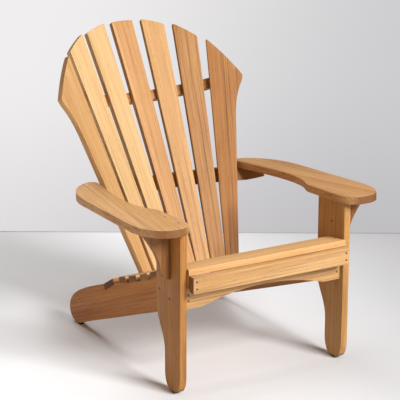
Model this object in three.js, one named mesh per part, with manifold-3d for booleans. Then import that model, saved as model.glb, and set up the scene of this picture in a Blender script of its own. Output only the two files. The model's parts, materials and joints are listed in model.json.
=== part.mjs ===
// Adirondack chair in teak: fanned seven slat back, scooped slat seat, paddle arms.
// Millimetres, +Z up. The sitter looks along -Y, +X is the sitter's left hand side seen from
// the front, and the origin is on the ground under the middle of the chair.
import * as THREE from 'three';
import { mergeVertices } from 'three/addons/utils/BufferGeometryUtils.js';
import Module from 'manifold-3d';

const wasm = await Module();
wasm.setup();

// driving dimensions
const fit = 0.3;                 // clearance between pieces that touch
const board = 22;                // planed thickness of the frame boards
const legFace = 300;             // outer face of a leg, from the middle of the chair
const legDepth = 140;            // leg width at the arm
const ankleDepth = 90;           // leg width at the foot
const glideHeight = 5;
const glideRadius = 10;
const armTop = 536;              // top of the arm above the leg's front edge
const armThickness = 23;
const armSlope = Math.atan(0.05); // arms fall towards the back
const seatNose = -13;            // front end of the side rails
const railTopFront = 380;
const railCrest = { y: 77, z: 367 };  // where the seat starts to fall
const railFall = 0.5;            // slope of the seat just behind the crest
const railScoop = 0.000262;      // how fast that slope eases off
const seatThickness = 19.7;
const slatEdges = [[seatNose, 77], [100, 148], [168, 216], [232, 279], [303, 350], [371, 414]];
const backLean = THREE.MathUtils.degToRad(31.5);
const backFoot = { y: 500.9, z: 300 };   // front of the middle back slat, at the datum height
const backSpan = 700;            // length along the back from the datum to the head datum
const backPitch = { foot: 58.5, head: 104.3 };      // slat spacing at the two datums
const backHollow = { foot: 2.4, head: 9.1 };        // forward curve, per slat number squared
const backTuck = 0.69;           // how much the outer slats come in at the head
const backTurn = THREE.MathUtils.degToRad(7.5);     // each slat turns this much more inwards
const backThickness = 20.6;
const slatHalf = { foot: 25.8, head: 37.5 };        // half widths at the two datums
const slatBottom = -116;         // lower end of the back slats, along the back
const crown = 757;               // highest point of the back, along the back
const crownFall = [0.0014, 1.08e-9];  // fall of the crown with the distance from the middle
const crownPitch = 106.5;        // slat spacing along the crown
const screwFacets = 12;

const tones = {
  honey: '#c4935c',
  pale: '#d3a870',
  rose: '#c08f5f',
  brown: '#a3703f',
  steel: '#6f6a63',
  rubber: '#26241f',
};

const chair = new THREE.Group();

// small helpers
function addPiece(parent, name, geometry, tone, finish = { roughness: 0.6, metalness: 0 }) {
  const material = new THREE.MeshStandardMaterial({ color: tones[tone], ...finish });
  const mesh = new THREE.Mesh(geometry, material);
  mesh.name = name;
  parent.add(mesh);
  return mesh;
}

function outlineOf(points) {
  return new THREE.Shape(points.map(([u, v]) => new THREE.Vector2(u, v)));
}

function plank(shape, thickness) {
  return new THREE.ExtrudeGeometry(shape, { depth: thickness, bevelEnabled: false, curveSegments: 10 });
}

// the outline's two axes become Y and Z, the thickness runs along +X from x
function standAcross(mesh, x) {
  mesh.rotation.set(Math.PI / 2, Math.PI / 2, 0);
  mesh.position.x = x;
}

// the outline's two axes become X and Z, the thickness runs forward from the rear face y
function faceFront(mesh, y) {
  mesh.rotation.x = Math.PI / 2;
  mesh.position.y = y;
}

function solidOf(geometry, matrix) {
  const bare = geometry.clone().applyMatrix4(matrix);
  bare.deleteAttribute('normal');
  bare.deleteAttribute('uv');
  const merged = mergeVertices(bare, 1e-4);
  const vertProperties = new Float32Array(merged.attributes.position.array);
  const triVerts = new Uint32Array(merged.index.array);
  return new wasm.Manifold(new wasm.Mesh({ numProp: 3, vertProperties, triVerts }));
}

function geometryOf(solid) {
  const mesh = solid.getMesh();
  const geometry = new THREE.BufferGeometry();
  geometry.setAttribute('position', new THREE.BufferAttribute(mesh.vertProperties, 3));
  geometry.setIndex(new THREE.BufferAttribute(mesh.triVerts, 1));
  geometry.computeVertexNormals();
  return geometry;
}

// cuts the room of the cutters out of a mesh, in the mesh's own frame
function carve(mesh, cutters) {
  chair.updateMatrixWorld(true);
  const toMesh = mesh.matrixWorld.clone().invert();
  let solid = solidOf(mesh.geometry, new THREE.Matrix4());
  for (const { geometry, frame } of cutters) {
    const matrix = toMesh.clone().multiply(frame.matrixWorld);
    solid = solid.subtract(solidOf(geometry, matrix));
  }
  mesh.geometry = geometryOf(solid);
}

// heights that several pieces share
const armUnderside = (y) => armTop - armThickness / Math.cos(armSlope) - Math.tan(armSlope) * y;

function railTop(y) {
  if (y < railCrest.y) {
    const rise = (railTopFront - railCrest.z) / (railCrest.y - seatNose);
    return railCrest.z + rise * (railCrest.y - y);
  }
  const past = y - railCrest.y;
  return railCrest.z - railFall * past + railScoop * past * past;
}

// front legs
function legShape() {
  const sole = glideHeight + fit;
  const shape = new THREE.Shape();
  shape.moveTo(32, sole);
  shape.lineTo(58, sole);
  shape.bezierCurveTo(78, sole, ankleDepth, 32, ankleDepth, 62);
  shape.lineTo(ankleDepth, 115);
  shape.bezierCurveTo(ankleDepth, 175, legDepth, 205, legDepth, 258);
  shape.lineTo(legDepth, armUnderside(legDepth) - fit);
  shape.lineTo(0, armUnderside(0) - fit);
  shape.lineTo(0, 62);
  shape.bezierCurveTo(0, 32, 12, sole, 32, sole);
  return shape;
}

// side rails: seat bearer and back foot in one board
const railFace = legFace - board - fit;      // outer face of a rail
const noseBottom = 338;
const apronBack = 36.3;
const railRearGlide = 700;
const railHeel = 672;            // the straight bottom edge ends here, at the rear foot
const railTopEnd = 456;          // the scooped top edge ends here, behind the last seat slat
const railTopStep = 42;
const railBottom = (y) => 278.6 - 0.3915 * y;

function railShape() {
  const sole = glideHeight + fit;
  const shape = new THREE.Shape();
  shape.moveTo(seatNose, noseBottom);
  shape.lineTo(apronBack, noseBottom);
  shape.lineTo(apronBack, railBottom(apronBack));
  shape.lineTo(railHeel, railBottom(railHeel));
  shape.quadraticCurveTo(688, sole, 696, sole);
  shape.lineTo(712, sole);
  shape.bezierCurveTo(738, sole, 757, 22, 757, 46);
  shape.bezierCurveTo(757, 78, 722, 107, 660, 136);
  shape.bezierCurveTo(610, 160, 560, 178, 517, 194);
  for (let y = railTopEnd; y > railCrest.y; y -= railTopStep) {
    shape.lineTo(y, railTop(y));
  }
  shape.lineTo(railCrest.y, railCrest.z);
  shape.lineTo(seatNose, railTopFront);
  shape.closePath();
  return shape;
}

// arms
const armFrame = new THREE.Group();          // its origin is on the arms' top above the leg fronts
armFrame.rotation.x = -armSlope;
armFrame.position.z = armTop;

function armShape(side) {
  const at = (x) => x * side;
  const shape = new THREE.Shape();
  shape.moveTo(at(268), 34);
  shape.bezierCurveTo(at(268), 2, at(284), -38, at(320), -38);
  shape.lineTo(at(336), -38);
  shape.bezierCurveTo(at(380), -38, at(414), 10, at(415), 82);
  shape.lineTo(at(411), 165);
  shape.lineTo(at(390), 450);
  shape.bezierCurveTo(at(384), 508, at(346), 588, at(290), 611);
  shape.bezierCurveTo(at(268), 619, at(253), 606, at(258), 582);
  shape.bezierCurveTo(at(276), 490, at(328), 300, at(272), 203);
  shape.quadraticCurveTo(at(266), 192, at(266), 172);
  shape.closePath();
  return shape;
}

// brackets between leg and arm
const bracketFront = 55;

function bracketShape(side) {
  const at = (x) => x * side;
  const top = armUnderside(bracketFront + board) - fit;
  const shape = new THREE.Shape();
  shape.moveTo(at(legFace + fit), top);
  shape.lineTo(at(legFace + fit), 353);
  shape.bezierCurveTo(at(319), 356, at(333), 372, at(335), 395);
  shape.bezierCurveTo(at(337), 428, at(366), 470, at(397), top);
  shape.closePath();
  return shape;
}

// the back
const backFrame = new THREE.Group();         // +Z runs up the back, +Y points out of its rear
backFrame.rotation.x = -backLean;
backFrame.position.set(0, backFoot.y, backFoot.z);

// middle of slat number n, at the height t from the foot datum (0) to the head datum (1)
function slatMiddle(n, t) {
  const pitch = THREE.MathUtils.lerp(backPitch.foot, backPitch.head, t);
  const hollow = THREE.MathUtils.lerp(backHollow.foot, backHollow.head, t);
  return new THREE.Vector3(n * pitch - backTuck * n ** 3 * t, -hollow * n * n, t * backSpan);
}

// a frame on slat n: +X across its face, +Z up its length, +Y out of its rear
function slatFrame(n) {
  const foot = slatMiddle(n, 0);
  const up = slatMiddle(n, 1).sub(foot).normalize();
  const across = new THREE.Vector3(Math.cos(backTurn * n), -Math.sin(backTurn * n), 0);
  across.addScaledVector(up, -across.dot(up)).normalize();
  const rear = new THREE.Vector3().crossVectors(up, across);
  const frame = new THREE.Group();
  frame.quaternion.setFromRotationMatrix(new THREE.Matrix4().makeBasis(across, rear, up));
  frame.position.copy(foot);
  return frame;
}

const crownHeight = (u) => crown - crownFall[0] * u ** 2 - crownFall[1] * u ** 4;
const slatHalfAt = (s) => slatHalf.foot + (slatHalf.head - slatHalf.foot) * s / backSpan;

function crownPoints(n, from, to) {
  const lengthwise = slatMiddle(n, 1).sub(slatMiddle(n, 0)).normalize().z;
  const steps = 8;
  const points = [];
  for (let i = 0; i <= steps; i += 1) {
    const across = from + (to - from) * i / steps;
    points.push([across, crownHeight(n * crownPitch + across) / lengthwise]);
  }
  return points;
}

function innerSlatShape(n, grow) {
  const foot = slatHalfAt(slatBottom) + grow;
  const head = slatHalfAt(crown) + grow;
  return outlineOf([[-foot, slatBottom], [foot, slatBottom], ...crownPoints(n, head, -head)]);
}

// the two outer slats have a straight inner edge and flare out to a shoulder near the top
function outerSlatShape(n, grow) {
  const side = Math.sign(n);
  const inner = { foot: -26.5 - grow, head: -32.5 - grow };
  const waist = { across: 46 + grow, up: 385 };
  const shoulder = { across: 80 + grow, up: 508 };
  const curve = new THREE.CubicBezierCurve(
    new THREE.Vector2(waist.across, waist.up),
    new THREE.Vector2(waist.across + 5, waist.up + 62),
    new THREE.Vector2(shoulder.across - 18, shoulder.up - 38),
    new THREE.Vector2(shoulder.across, shoulder.up),
  );
  const points = [
    [inner.foot, slatBottom],
    [14 + grow, slatBottom],
    ...curve.getPoints(8).map((point) => [point.x, point.y]),
    ...crownPoints(3, shoulder.across - 1.5, inner.head),
  ];
  const placed = points.map(([across, up]) => [across * side, up]);
  return outlineOf(side > 0 ? placed : placed.reverse());
}

const slatShape = (n, grow = 0) => (Math.abs(n) === 3 ? outerSlatShape(n, grow) : innerSlatShape(n, grow));

// a slat's outline lies in its frame's XZ plane, with the board behind it
function slatGeometry(n, front, rear, grow) {
  const geometry = plank(slatShape(n, grow), rear - front);
  geometry.rotateX(Math.PI / 2);
  geometry.translate(0, rear, 0);
  return geometry;
}

// cross pieces behind the back
const bowFront = (x, bow) => bow.middle - (bow.radius - Math.sqrt(bow.radius ** 2 - x * x));

// plan outline of a bar with a bowed front and a rear edge that follows it or stays straight
function barShape(halfLength, bow, rearAt) {
  const steps = 24;
  const front = [];
  for (let i = 0; i <= steps; i += 1) {
    const x = -halfLength + 2 * halfLength * i / steps;
    front.push([x, bowFront(x, bow)]);
  }
  const rear = front.map(([x]) => [x, rearAt(x)]).reverse();
  return outlineOf([...front, ...rear]);
}

// screws: a head sunk in a counterbore, and a shank
function screwGeometry({ head, headLength, shank, shankLength }) {
  const profile = [
    [0, 0],
    [head, 0],
    [head, headLength],
    [shank, headLength],
    [shank, headLength + shankLength],
    [0, headLength + shankLength],
  ];
  return new THREE.LatheGeometry(profile.map(([r, y]) => new THREE.Vector2(r, y)), screwFacets);
}

// the room a screw needs, open to the surface it was driven from
function boreGeometry({ head, headLength, shank, shankLength, sink }) {
  const bore = screwGeometry({
    head: head + fit,
    headLength: sink + headLength + 3 * fit,
    shank: shank + fit,
    shankLength,
  });
  return bore.translate(0, -sink - fit, 0);
}

// drives a screw from a surface point in a direction of the parent frame, and bores the boards for it
function driveScrew(parent, name, start, direction, size, boards) {
  const finish = { roughness: 0.35, metalness: 1 };
  const screw = addPiece(parent, name, screwGeometry(size), 'steel', finish);
  const inward = new THREE.Vector3(...direction);
  screw.position.set(...start).addScaledVector(inward, size.sink);
  screw.quaternion.setFromUnitVectors(new THREE.Vector3(0, 1, 0), inward);
  boards.forEach((mesh) => carve(mesh, [{ geometry: boreGeometry(size), frame: screw }]));
}

// assembly
chair.add(armFrame, backFrame);
const sides = [['left', -1], ['right', 1]];
const legs = {};
const rails = {};
const arms = {};
const brackets = {};

for (const [word, side] of sides) {
  const legStart = side > 0 ? legFace - board : -legFace;
  const legTone = side > 0 ? 'honey' : 'brown';
  legs[word] = addPiece(chair, `front_leg_${word}`, plank(legShape(), board), legTone);
  standAcross(legs[word], legStart);

  const railStart = side > 0 ? railFace - board : -railFace;
  rails[word] = addPiece(chair, `side_rail_${word}`, plank(railShape(), board), 'brown');
  standAcross(rails[word], railStart);

  arms[word] = addPiece(armFrame, `armrest_${word}`, plank(armShape(side), armThickness), 'honey');
  arms[word].position.z = -armThickness;

  brackets[word] = addPiece(chair, `arm_bracket_${word}`, plank(bracketShape(side), board), 'rose');
  faceFront(brackets[word], bracketFront + board);

  const glide = () => new THREE.CylinderGeometry(glideRadius, glideRadius, glideHeight, screwFacets * 2);
  const glidePlaces = [
    ['front', legFace - board / 2, ankleDepth / 2],
    ['rear', railFace - board / 2, railRearGlide],
  ];
  for (const [place, x, y] of glidePlaces) {
    const pad = addPiece(chair, `foot_glide_${place}_${word}`, glide(), 'rubber');
    pad.rotation.x = Math.PI / 2;
    pad.position.set(side * x, y, glideHeight / 2);
  }
}

// seat slats lie on the rails, flush with their outer faces
slatEdges.forEach(([front, rear], index) => {
  const rise = railTop(rear) - railTop(front);
  const length = Math.hypot(rear - front, rise);
  const nose = 4;
  const section = new THREE.Shape();
  section.moveTo(0, 0);
  section.lineTo(length, 0);
  section.lineTo(length, seatThickness);
  if (index === 0) {
    section.lineTo(nose, seatThickness);
    section.quadraticCurveTo(0, seatThickness, 0, seatThickness - nose);
  } else {
    section.lineTo(0, seatThickness);
  }
  section.closePath();
  const tilt = new THREE.Group();
  tilt.position.set(0, front, railTop(front) + fit);
  tilt.rotation.x = Math.atan2(rise, rear - front);
  chair.add(tilt);
  const tone = ['pale', 'honey', 'rose'][index % 3];
  const slat = addPiece(tilt, `seat_slat_${index + 1}`, plank(section, 2 * railFace), tone);
  standAcross(slat, -railFace);
});

// front board on the rail ends
const frontBoardTop = railTopFront;
const frontBoardHeight = 50;
const frontBoardHalf = 275.5;
const frontBoard = addPiece(
  chair,
  'front_board',
  plank(outlineOf([
    [-frontBoardHalf, frontBoardTop - frontBoardHeight],
    [frontBoardHalf, frontBoardTop - frontBoardHeight],
    [frontBoardHalf, frontBoardTop],
    [-frontBoardHalf, frontBoardTop],
  ]), board),
  'honey',
);
faceFront(frontBoard, seatNose - fit);

// arched apron between the legs, tucked into the notch under the rail noses
const apronBottom = 268;
const apronArch = { half: 215, rise: 32 };

function apronShape() {
  const half = legFace - board - fit;
  const top = noseBottom - fit;
  const radius = (apronArch.half ** 2 + apronArch.rise ** 2) / (2 * apronArch.rise);
  const steps = 24;
  const points = [[half, apronBottom], [half, top], [-half, top], [-half, apronBottom]];
  for (let i = 0; i <= steps; i += 1) {
    const x = apronArch.half * (2 * i / steps - 1);
    const lift = Math.sqrt(radius ** 2 - x * x) - (radius - apronArch.rise);
    points.push([x, apronBottom + Math.max(lift, 0)]);
  }
  return outlineOf(points);
}

const apron = addPiece(chair, 'front_apron', plank(apronShape(), board), 'honey');
faceFront(apron, apronBack - fit);

// back slats, numbered from the left
const slatTones = ['honey', 'pale', 'pale', 'rose', 'honey', 'honey', 'brown'];
const slatCutters = [];
const slatClearance = 60;

for (let n = -3; n <= 3; n += 1) {
  const frame = slatFrame(n);
  backFrame.add(frame);
  addPiece(frame, `back_slat_${n + 4}`, slatGeometry(n, 0, backThickness, 0), slatTones[n + 3]);
  slatCutters.push({ geometry: slatGeometry(n, -slatClearance, backThickness + fit, fit), frame });
}

// top cleat: a sawn bow across the back, housed on every slat
const cleat = { bottom: 481, height: 34, depth: 24, half: 286, bow: { middle: 19.6, radius: 600 } };
const topCleat = addPiece(
  backFrame,
  'back_top_cleat',
  plank(barShape(cleat.half, cleat.bow, (x) => bowFront(x, cleat.bow) + cleat.depth), cleat.height),
  'brown',
);
topCleat.position.z = cleat.bottom;

// bottom bar: lies square to the back, let into the rails behind the last seat slat
const foot = { top: -81, height: 21, rear: 71, bow: { middle: 19.8, radius: 1900 } };
const bottomBar = addPiece(
  backFrame,
  'back_bottom_bar',
  plank(barShape(railFace, foot.bow, () => foot.rear), foot.height),
  'brown',
);
bottomBar.position.z = foot.top - foot.height;

// arm support bar: carries the arms' rear ends and backs the slats
const prop = { height: 40, depth: 42, half: 335, bow: { middle: 616, radius: 790 } };
const propTaper = { from: 240, slope: 0.16 };      // the bar thins towards its ends
const propUndercut = { from: 290, slope: 0.22 };   // and its underside rises there
const propLean = prop.height * Math.tan(backLean - armSlope);

function propRear(x) {
  const past = Math.max(0, Math.abs(x) - propTaper.from);
  return bowFront(x, prop.bow) + prop.depth - propTaper.slope * past;
}

const propPlan = barShape(prop.half, prop.bow, propRear);
const propGeometry = plank(propPlan, prop.height);
const propPosition = propGeometry.attributes.position;
for (let i = 0; i < propPosition.count; i += 1) {
  const x = propPosition.getX(i);
  const onFront = Math.abs(propPosition.getY(i) - bowFront(x, prop.bow)) < 0.01;
  if (propPosition.getZ(i) < prop.height / 2) {
    propPosition.setZ(i, propUndercut.slope * Math.max(0, Math.abs(x) - propUndercut.from));
  } else if (onFront) {
    propPosition.setY(i, propPosition.getY(i) + propLean);
  }
}
const supportBar = addPiece(armFrame, 'arm_support_bar', propGeometry, 'brown');
supportBar.position.z = -armThickness - fit - prop.height;

for (const bar of [topCleat, bottomBar, supportBar]) {
  carve(bar, slatCutters);
}

// housings for the bottom bar in the rails, open to their top edges
const barHeadroom = 60;
const barRoom = plank(
  barShape(railFace + 5, { middle: foot.bow.middle - fit, radius: foot.bow.radius }, () => foot.rear + fit),
  foot.height + barHeadroom,
);
const barRoomFrame = new THREE.Group();
barRoomFrame.position.z = foot.top - foot.height - fit;
backFrame.add(barRoomFrame);
for (const [word] of sides) {
  carve(rails[word], [{ geometry: barRoom, frame: barRoomFrame }]);
}

// fasteners
// where they go: [y, z] on the legs' outer faces, z on the front boards, y along the arms
const screwPlaces = {
  leg: [[124, 306], [62, 292]],
  frontBoard: [344, 366],
  apron: [292, 312],
  frontAcross: 264,                // over the middle of a rail's front end
  arm: [30, 108],
  armBar: { x: 302, y: 570 },
  bracket: 440,
};
const screws = {
  leg: { head: 3.4, headLength: 3, shank: 2.2, shankLength: 34, sink: 1.2 },
  front: { head: 3, headLength: 3, shank: 2, shankLength: 40, sink: 1.2 },
  arm: { head: 4.2, headLength: 3, shank: 2.4, shankLength: 44, sink: 6 },
  armBar: { head: 4.2, headLength: 3, shank: 2.4, shankLength: 36, sink: 6 },
  bracket: { head: 3.4, headLength: 3, shank: 2.2, shankLength: 36, sink: 1.2 },
};

for (const [word, side] of sides) {
  const inward = [-side, 0, 0];
  screwPlaces.leg.forEach(([y, z], index) => {
    driveScrew(
      chair, `leg_screw_${word}_${index + 1}`, [side * legFace, y, z], inward, screws.leg,
      [legs[word], rails[word]],
    );
  });
  const across = side * screwPlaces.frontAcross;
  screwPlaces.frontBoard.forEach((z, index) => {
    const start = [across, seatNose - fit - board, z];
    driveScrew(
      chair, `front_board_screw_${word}_${index + 1}`, start, [0, 1, 0], screws.front,
      [frontBoard, rails[word]],
    );
  });
  screwPlaces.apron.forEach((z, index) => {
    const start = [across, apronBack - fit - board, z];
    driveScrew(
      chair, `apron_screw_${word}_${index + 1}`, start, [0, 1, 0], screws.front, [apron, rails[word]],
    );
  });
  screwPlaces.arm.forEach((y, index) => {
    driveScrew(
      armFrame, `arm_screw_${word}_${index + 1}`, [side * (legFace - board / 2), y, 0], [0, 0, -1],
      screws.arm, [arms[word], legs[word]],
    );
  });
  driveScrew(
    armFrame, `arm_bar_screw_${word}`, [side * screwPlaces.armBar.x, screwPlaces.armBar.y, 0],
    [0, 0, -1], screws.armBar,
    [arms[word], supportBar],
  );
  const bracketStart = [side * (legFace - board), bracketFront + board / 2, screwPlaces.bracket];
  driveScrew(
    chair, `bracket_screw_${word}`, bracketStart, [side, 0, 0], screws.bracket,
    [legs[word], brackets[word]],
  );
}

// ground level is under the glides, and the chair is centred front to back
chair.updateMatrixWorld(true);
const box = new THREE.Box3().setFromObject(chair, true);
chair.position.y = -(box.min.y + box.max.y) / 2;

export default chair;
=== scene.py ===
# Adirondack chair in teak: eased boards, sawn grain, screws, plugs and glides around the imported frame.
import json
import math

import bmesh
import bpy
from mathutils import Matrix, Vector
from mathutils.bvhtree import BVHTree
import numpy as np


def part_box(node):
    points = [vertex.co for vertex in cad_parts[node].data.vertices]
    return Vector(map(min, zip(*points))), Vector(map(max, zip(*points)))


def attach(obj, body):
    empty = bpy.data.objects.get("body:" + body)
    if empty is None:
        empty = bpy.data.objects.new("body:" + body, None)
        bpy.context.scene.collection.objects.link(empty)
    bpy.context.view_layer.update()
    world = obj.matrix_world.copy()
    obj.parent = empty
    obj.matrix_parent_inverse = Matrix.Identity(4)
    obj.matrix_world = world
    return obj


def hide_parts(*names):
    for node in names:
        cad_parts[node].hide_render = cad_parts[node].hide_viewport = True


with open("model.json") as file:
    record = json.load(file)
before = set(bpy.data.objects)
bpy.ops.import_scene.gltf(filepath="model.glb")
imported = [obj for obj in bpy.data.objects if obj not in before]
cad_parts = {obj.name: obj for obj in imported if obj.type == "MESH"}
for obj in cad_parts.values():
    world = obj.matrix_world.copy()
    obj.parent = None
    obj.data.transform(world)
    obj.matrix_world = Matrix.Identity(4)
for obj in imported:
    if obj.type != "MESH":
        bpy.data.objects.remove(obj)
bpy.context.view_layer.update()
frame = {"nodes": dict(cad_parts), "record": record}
nodes = frame["nodes"]
collection = bpy.context.scene.collection
print("frame loaded:", len(nodes), "CAD nodes")


def boxMiddle(node):
    low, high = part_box(node)
    return (low + high) / 2


# turn is measured from straight in front of the chair towards its right-hand side, tilt from the floor up
def wayTo(turn, tilt):
    turn, tilt = math.radians(turn), math.radians(tilt)
    return Vector((math.sin(turn) * math.cos(tilt), -math.cos(turn) * math.cos(tilt), math.sin(tilt)))


# turn, tilt and distance go from the look point to the camera
camera = {
    "turn": -30.9,
    "tilt": 16.97,
    "roll": 0.246,
    "distance": 5.936,
    "lens": 171.65,
    "lookX": -0.0247,
    "lookY": -0.0875,
    "lookZ": 0.4776,
}


def makeCamera(c):
    data = bpy.data.cameras.new("camera")
    data.lens = c["lens"]
    data.sensor_width = 36
    data.clip_end = 60
    obj = bpy.data.objects.new("camera", data)
    collection.objects.link(obj)
    away = wayTo(c["turn"], c["tilt"])
    look = Vector((c["lookX"], c["lookY"], c["lookZ"]))
    rotation = away.to_track_quat("Z", "Y").to_matrix()
    rotation = rotation @ Matrix.Rotation(math.radians(c["roll"]), 3, "Z")
    obj.matrix_world = Matrix.Translation(look + away * c["distance"]) @ rotation.to_4x4()
    bpy.context.scene.camera = obj
    return away


towardsCamera = makeCamera(camera)


# short ways of building node trees
def addNode(tree, kind, place=(0, 0), **settings):
    node = tree.nodes.new(kind)
    node.location = place
    for key, value in settings.items():
        setattr(node, key, value)
    return node


def join(tree, source, target):
    tree.links.new(source, target)


def mathNode(tree, operation, first, second=None, clamp=False):
    node = addNode(tree, "ShaderNodeMath", operation=operation, use_clamp=clamp)
    for socket, value in zip(node.inputs, (first, second)):
        if value is None:
            continue
        if isinstance(value, (int, float)):
            socket.default_value = value
        else:
            join(tree, value, socket)
    return node.outputs[0]


def plus(tree, first, second):
    return mathNode(tree, "ADD", first, second)


def minus(tree, first, second):
    return mathNode(tree, "SUBTRACT", first, second)


def times(tree, first, second):
    return mathNode(tree, "MULTIPLY", first, second)


def blendColours(tree, factor, first, second, mode="MIX"):
    node = addNode(tree, "ShaderNodeMix", data_type="RGBA", blend_type=mode)
    for socket, value in zip((node.inputs[0], node.inputs[6], node.inputs[7]), (factor, first, second)):
        if isinstance(value, (int, float, tuple)):
            socket.default_value = value
        else:
            join(tree, value, socket)
    return node.outputs[2]


def mapRange(tree, value, fromLow, fromHigh, toLow, toHigh, smooth=False):
    node = addNode(tree, "ShaderNodeMapRange")
    if smooth:
        node.interpolation_type = "SMOOTHSTEP"
    join(tree, value, node.inputs["Value"])
    ends = {"From Min": fromLow, "From Max": fromHigh, "To Min": toLow, "To Max": toHigh}
    for name, number in ends.items():
        node.inputs[name].default_value = number
    return node.outputs["Result"]


# perMetre is how often the noise repeats in a metre, along each of the vector's three axes
def noise(tree, vector, perMetre, detail, rough):
    stretch = addNode(tree, "ShaderNodeVectorMath", operation="MULTIPLY")
    join(tree, vector, stretch.inputs[0])
    stretch.inputs[1].default_value = perMetre
    node = addNode(tree, "ShaderNodeTexNoise")
    node.inputs["Scale"].default_value = 1.0
    node.inputs["Detail"].default_value = detail
    node.inputs["Roughness"].default_value = rough
    join(tree, stretch.outputs[0], node.inputs["Vector"])
    return node.outputs["Fac"]


def partsOf(tree, vector):
    node = addNode(tree, "ShaderNodeSeparateXYZ")
    join(tree, vector, node.inputs[0])
    return node.outputs


def bumped(tree, shader, height, strength, distance):
    node = addNode(tree, "ShaderNodeBump", (900, -300))
    node.inputs["Strength"].default_value = strength
    node.inputs["Distance"].default_value = distance
    join(tree, height, node.inputs["Height"])
    join(tree, node.outputs[0], shader.inputs["Normal"])


def startMaterial(name):
    material = bpy.data.materials.new(name)
    material.use_nodes = True
    return material, material.node_tree, material.node_tree.nodes["Principled BSDF"]


def linear(hexColour):
    channels = [int(hexColour[i:i + 2], 16) / 255 for i in (1, 3, 5)]
    return tuple(c / 12.92 if c <= 0.04045 else ((c + 0.055) / 1.055) ** 2.4 for c in channels) + (1.0,)


# planed and oiled teak: light is the early wood, dark the late wood, line the open pores
teakTones = {
    "teak_honey": {"light": "#cfa572", "dark": "#aa7a45", "line": "#6a401f"},
    "teak_pale": {"light": "#dcb988", "dark": "#bc915a", "line": "#84572c"},
    "teak_rose": {"light": "#cea06c", "dark": "#a97645", "line": "#6c4224"},
    "teak_brown": {"light": "#b5814a", "dark": "#8a572b", "line": "#522d15"},
}
teak = {
    "ringsPerMetre": 210.0,
    "ringSoftness": 0.45,
    "ringShare": 0.50,
    "yearsFrom": 0.10,      # the faintest and the strongest year's ring
    "yearsTo": 0.85,
    "axisWander": 0.030,    # how far the trunk's middle strays along a board
    "ringRipple": 0.0022,
    "poreDepth": 0.00014,
    "bumpStrength": 0.55,
    "roughness": 0.50,
    "endRougher": 0.16,     # end grain and pores are rougher than the planed face
    "poreRougher": 0.10,
    "fineHeight": 0.35,
    "ringHeight": 0.35,
    "specular": 0.26,
    "endGrainShare": 0.85,
    "rubbedFrom": 0.05,     # how much of the light tone an eased edge is rubbed back to
    "rubbedTo": 0.40,
    "plankStep": 3.7,       # metres between the places that two boards are sawn from
}
# each figure is a noise, perMetre along, across and through the board; a mark starts at low and is full
# at high, and takes its share of the colour
figures = {
    "wander": {"perMetre": (1.1, 4.0, 4.0), "detail": 2.0, "rough": 0.45},
    "ripple": {"perMetre": (3.5, 40.0, 40.0), "detail": 3.0, "rough": 0.5},
    "bands": {"perMetre": (0.9, 22.0, 22.0), "detail": 3.0, "rough": 0.55,
              "low": 0.36, "high": 0.66, "share": 0.34},
    "streaks": {"perMetre": (1.6, 95.0, 95.0), "detail": 3.0, "rough": 0.55,
                "low": 0.54, "high": 0.72, "share": 0.36},
    "fine": {"perMetre": (7.0, 330.0, 330.0), "detail": 4.0, "rough": 0.6,
             "low": 0.36, "high": 0.66, "share": 0.34},
    "lines": {"perMetre": (2.6, 210.0, 210.0), "detail": 2.0, "rough": 0.5,
              "low": 0.56, "high": 0.70, "share": 0.34},
    "pores": {"perMetre": (38.0, 1250.0, 1250.0), "detail": 2.0, "rough": 0.5,
              "low": 0.58, "high": 0.74, "share": 0.55},
    "clouds": {"perMetre": (3.0, 9.0, 9.0), "detail": 4.0, "rough": 0.55,
               "low": 0.38, "high": 0.72, "share": 0.24},
}
slotOf = {part["node"]: part["material_slot"] for part in frame["record"]["subparts"]}


def tinted(colour, tint):
    return tuple(channel * share for channel, share in zip(linear(colour), tint)) + (1.0,)


def figured(tree, along, name):
    figure = figures[name]
    return noise(tree, along, figure["perMetre"], figure["detail"], figure["rough"])


def markOf(tree, pattern, name, smooth=True):
    return mapRange(tree, pattern, figures[name]["low"], figures[name]["high"], 0.0, 1.0, smooth=smooth)


# a noise centred on nought and scaled to a size in metres
def strayed(tree, pattern, size):
    return times(tree, minus(tree, pattern, 0.5), size)


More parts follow.
